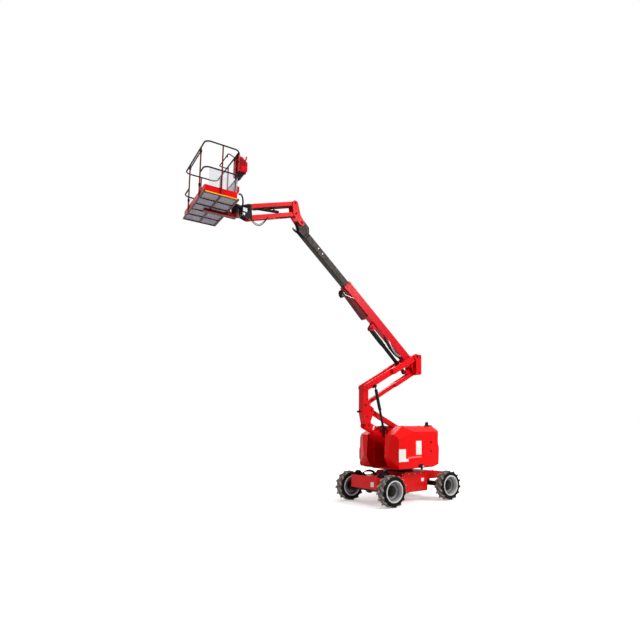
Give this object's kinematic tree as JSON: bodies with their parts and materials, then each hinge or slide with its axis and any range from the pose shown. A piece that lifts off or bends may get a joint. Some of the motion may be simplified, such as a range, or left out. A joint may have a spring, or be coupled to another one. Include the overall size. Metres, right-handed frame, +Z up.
{
  "type": "articulating boom lift",
  "caption": "Self-propelled articulated boom lift: wheeled chassis, slewing turntable, double parallelogram riser, telescopic boom, jib and work platform.",
  "frame": {"origin": "on the ground, on the slew axis at the middle of the wheelbase", "axes": "+X towards the steered end, -X the way the boom reaches over the driven end, +Y across, +Z up"},
  "size_m": [7.7429, 2.18, 8.2899],
  "materials": {
    "red_paint": "gloss enamel",
    "dark_red_paint": "satin enamel",
    "black_paint": "satin enamel",
    "dark_grey_paint": "satin enamel",
    "cast_grey": "rough cast, painted",
    "black_plastic": "moulded",
    "chromed_rod": "hard chrome",
    "rubber": "moulded",
    "galvanised_mesh": "galvanised",
    "tyre_rubber": "worn rubber",
    "rim_grey": "silver grey enamel"
  },
  "bodies": {
    "chassis": {"chassis_frame": "red_paint", "drive_axle": "black_paint", "steer_axle": "black_paint", "steering_cylinder": "black_paint", "slew_ring": "black_paint"},
    "turntable": {"turntable_frame": "red_paint", "counterweight": "cast_grey", "engine_block": "cast_grey", "tank_block": "black_plastic"},
    "lower_arm": {"lower_arm": "red_paint"},
    "lower_link": {"lower_link": "red_paint"},
    "mid_upright": {"mid_upright": "red_paint", "bump_stop": "rubber"},
    "upper_arm": {"upper_arm": "red_paint"},
    "upper_link": {"upper_link": "red_paint"},
    "rear_upright": {"rear_upright": "red_paint"},
    "riser_barrel": {"riser_cylinder_barrel": "black_paint"},
    "riser_rod": {"riser_cylinder_rod": "chromed_rod"},
    "lift_barrel": {"lift_cylinder_barrel": "black_paint"},
    "lift_rod": {"lift_cylinder_rod": "chromed_rod"},
    "main_boom": {"main_boom": "red_paint", "wear_pads": "black_plastic", "hose_tray": "dark_grey_paint"},
    "fly_boom": {"fly_boom": "dark_grey_paint", "fly_pads": "black_plastic"},
    "elbow": {"elbow": "red_paint"},
    "jib_upper": {"jib_upper_bars": "red_paint"},
    "jib_lower": {"jib_lower_bars": "red_paint"},
    "jib_head": {"jib_head": "black_paint"},
    "jib_barrel": {"jib_cylinder_barrel": "black_paint"},
    "jib_rod": {"jib_cylinder_rod": "chromed_rod"},
    "platform": {"platform_bracket": "dark_red_paint", "basket_frame": "dark_red_paint", "basket_floor": "galvanised_mesh", "toe_boards": "red_paint", "control_box": "red_paint"},
    "hood_near": {"hood_near": "red_paint"},
    "knuckle_near": {"knuckle_near": "black_paint"},
    "wheel_drive_near": {"tyre_drive_near": "tyre_rubber", "rim_drive_near": "rim_grey"},
    "wheel_steer_near": {"tyre_steer_near": "tyre_rubber", "rim_steer_near": "rim_grey"},
    "hood_far": {"hood_far": "red_paint"},
    "knuckle_far": {"knuckle_far": "black_paint"},
    "wheel_drive_far": {"tyre_drive_far": "tyre_rubber", "rim_drive_far": "rim_grey"},
    "wheel_steer_far": {"tyre_steer_far": "tyre_rubber", "rim_steer_far": "rim_grey"},
    "entry_bar": {"entry_bar": "dark_red_paint"}
  },
  "joints": [
    {"name": "slew", "type": "hinge", "parent": "chassis", "child": "turntable", "pos_m": [0, 0, 0.925], "axis": [0, 0, 1], "range_deg": [-177.5, 177.5]},
    {"name": "hood_near_hinge", "type": "hinge", "parent": "turntable", "child": "hood_near", "pos_m": [0, -0.366, 2.124], "axis": [-1, 0, 0], "range_deg": [0, 60]},
    {"name": "steer_near", "type": "hinge", "parent": "chassis", "child": "knuckle_near", "pos_m": [1.075, -0.7, 0.419], "axis": [0, 0, 1], "range_deg": [-28, 28]},
    {"name": "wheel_drive_near_spin", "type": "hinge", "parent": "chassis", "child": "wheel_drive_near", "pos_m": [-1.075, -0.94, 0.419], "axis": [0, 1, 0], "continuous": true},
    {"name": "wheel_steer_near_spin", "type": "hinge", "parent": "knuckle_near", "child": "wheel_steer_near", "pos_m": [1.075, -0.94, 0.419], "axis": [0, 1, 0], "continuous": true},
    {"name": "hood_far_hinge", "type": "hinge", "parent": "turntable", "child": "hood_far", "pos_m": [0, 0.366, 2.124], "axis": [1, 0, 0], "range_deg": [0, 60]},
    {"name": "steer_far", "type": "hinge", "parent": "chassis", "child": "knuckle_far", "pos_m": [1.075, 0.7, 0.419], "axis": [0, 0, 1], "range_deg": [-28, 28]},
    {"name": "wheel_drive_far_spin", "type": "hinge", "parent": "chassis", "child": "wheel_drive_far", "pos_m": [-1.075, 0.94, 0.419], "axis": [0, 1, 0], "continuous": true},
    {"name": "wheel_steer_far_spin", "type": "hinge", "parent": "knuckle_far", "child": "wheel_steer_far", "pos_m": [1.075, 0.94, 0.419], "axis": [0, 1, 0], "continuous": true},
    {"name": "riser_lift", "type": "hinge", "parent": "turntable", "child": "lower_arm", "pos_m": [0.55, 0, 1.3], "axis": [0, 1, 0], "range_deg": [-28.5, 24]},
    {"name": "lower_link_swing", "type": "hinge", "parent": "turntable", "child": "lower_link", "pos_m": [0.669, 0, 1.715], "axis": [0, 1, 0], "range_deg": [-28.5, 24]},
    {"name": "mid_upright_level", "type": "hinge", "parent": "lower_arm", "child": "mid_upright", "pos_m": [-1.22358, 0, 2.14595], "axis": [0, 1, 0], "range_deg": [-24, 28.5]},
    {"name": "upper_arm_lift", "type": "hinge", "parent": "mid_upright", "child": "upper_arm", "pos_m": [-1.31058, 0, 3.19895], "axis": [0, -1, 0], "range_deg": [-16.4, 13.81]},
    {"name": "upper_link_swing", "type": "hinge", "parent": "mid_upright", "child": "upper_link", "pos_m": [-1.31058, 0, 2.71395], "axis": [0, -1, 0], "range_deg": [-16.4, 13.81]},
    {"name": "rear_upright_level", "type": "hinge", "parent": "upper_arm", "child": "rear_upright", "pos_m": [0.53145, 0, 4.22085], "axis": [0, -1, 0], "range_deg": [-13.81, 16.4]},
    {"name": "riser_barrel_swing", "type": "hinge", "parent": "lower_arm", "child": "riser_barrel", "pos_m": [-0.68828, -0.182, 1.86293], "axis": [0, 1, 0], "range_deg": [-17.6, 20.8]},
    {"name": "riser_rod_slide", "type": "slide", "parent": "riser_barrel", "child": "riser_rod", "axis": [-0.2478, 0, 0.9688], "range_m": [-0.31, 0.262]},
    {"name": "boom_lift", "type": "hinge", "parent": "rear_upright", "child": "main_boom", "pos_m": [0.45045, 0, 4.00985], "axis": [0, 1, 0], "range_deg": [-33, 35.35]},
    {"name": "lift_barrel_swing", "type": "hinge", "parent": "rear_upright", "child": "lift_barrel", "pos_m": [0.20445, 0, 3.74285], "axis": [0, 1, 0], "range_deg": [-33.5, 35.9]},
    {"name": "lift_rod_slide", "type": "slide", "parent": "lift_barrel", "child": "lift_rod", "axis": [-0.7436, 0, 0.6687], "range_m": [-0.205, 0.219]},
    {"name": "boom_extend", "type": "slide", "parent": "main_boom", "child": "fly_boom", "axis": [-0.77, 0, 0.6381], "range_m": [-1.6, 0.5]},
    {"name": "platform_level", "type": "hinge", "parent": "fly_boom", "child": "elbow", "pos_m": [-3.45365, 0, 7.4012], "axis": [0, 1, 0], "range_deg": [-35.5, 33.2]},
    {"name": "jib_lift", "type": "hinge", "parent": "elbow", "child": "jib_upper", "pos_m": [-3.66466, 0, 7.8752], "axis": [0, 1, 0], "range_deg": [-36, 72]},
    {"name": "jib_lower_swing", "type": "hinge", "parent": "elbow", "child": "jib_lower", "pos_m": [-3.63465, 0, 7.5972], "axis": [0, 1, 0], "range_deg": [-36, 72]},
    {"name": "jib_head_level", "type": "hinge", "parent": "jib_upper", "child": "jib_head", "pos_m": [-4.89925, 0, 7.42535], "axis": [0, 1, 0], "range_deg": [-72, 36]},
    {"name": "jib_barrel_swing", "type": "hinge", "parent": "jib_head", "child": "jib_barrel", "pos_m": [-4.89925, 0, 7.42535], "axis": [0, 1, 0], "range_deg": [-34.2, 68.1]},
    {"name": "jib_rod_slide", "type": "slide", "parent": "jib_barrel", "child": "jib_rod", "axis": [0.9909, 0, 0.1347], "range_m": [-0.16, 0.317]},
    {"name": "entry_bar_lift", "type": "slide", "parent": "platform", "child": "entry_bar", "axis": [0, 0, 1], "range_m": [-0.45, 0]},
    {"name": "platform_rotate", "type": "hinge", "parent": "jib_head", "child": "platform", "pos_m": [-5.18925, 0, 7.2], "axis": [0, 0, 1], "range_deg": [-85, 95]}
  ],
  "couplings": [
    {"joint": "steer_far", "follows": "steer_near", "ratio": 1},
    {"joint": "lower_link_swing", "follows": "riser_lift", "ratio": 1},
    {"joint": "mid_upright_level", "follows": "riser_lift", "ratio": -1},
    {"joint": "upper_arm_lift", "follows": "riser_lift", "ratio": 0.5754},
    {"joint": "upper_link_swing", "follows": "riser_lift", "ratio": 0.5754},
    {"joint": "rear_upright_level", "follows": "riser_lift", "ratio": -0.5754},
    {"joint": "riser_barrel_swing", "follows": "riser_lift", "ratio": -0.7153},
    {"joint": "riser_rod_slide", "follows": "riser_lift", "m_per_rad": 0.6134},
    {"joint": "lift_barrel_swing", "follows": "boom_lift", "ratio": 1.0007},
    {"joint": "lift_rod_slide", "follows": "boom_lift", "m_per_rad": 0.3497},
    {"joint": "platform_level", "follows": "boom_lift", "ratio": -1},
    {"joint": "jib_lower_swing", "follows": "jib_lift", "ratio": 1},
    {"joint": "jib_head_level", "follows": "jib_lift", "ratio": -1},
    {"joint": "jib_barrel_swing", "follows": "jib_lift", "ratio": 0.94},
    {"joint": "jib_rod_slide", "follows": "jib_lift", "m_per_rad": 0.25}
  ]
}
